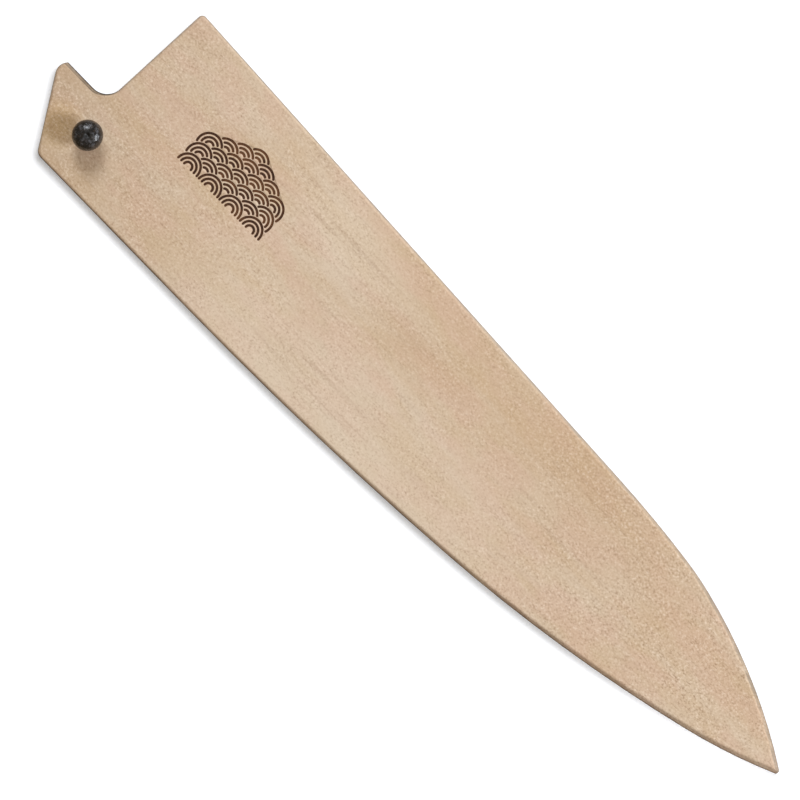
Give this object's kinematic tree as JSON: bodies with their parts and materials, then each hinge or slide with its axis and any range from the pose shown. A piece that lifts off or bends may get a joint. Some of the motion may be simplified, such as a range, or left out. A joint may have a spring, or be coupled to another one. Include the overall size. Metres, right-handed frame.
{
  "type": "knife blade guard",
  "caption": "Wooden sheath for a chef's knife: bevelled panels around a thin blade slot, a notch for the knife's neck, and a turned pin that holds the blade.",
  "frame": {"origin": "centre of the footprint, on the outer face of the back panel", "axes": "+X along the length from the mouth to the tip, +Y from the cutting-edge side to the spine side, +Z out of the front panel, towards the pin's knob"},
  "size_m": [0.2394, 0.0514, 0.0174],
  "materials": {
    "panel_wood": "sanded, unvarnished",
    "strip_wood": "sanded, unvarnished",
    "pin_wood": "polished near-black hardwood"
  },
  "bodies": {
    "sheath": {"front_panel": "panel_wood", "back_panel": "panel_wood", "spine_strip": "strip_wood", "edge_strip": "strip_wood"},
    "pin": {"locking_pin": "pin_wood"}
  },
  "joints": [
    {"name": "pin_pull", "type": "slide", "parent": "sheath", "child": "pin", "axis": [0, 0, 1], "range_m": [0, 0.015]}
  ]
}
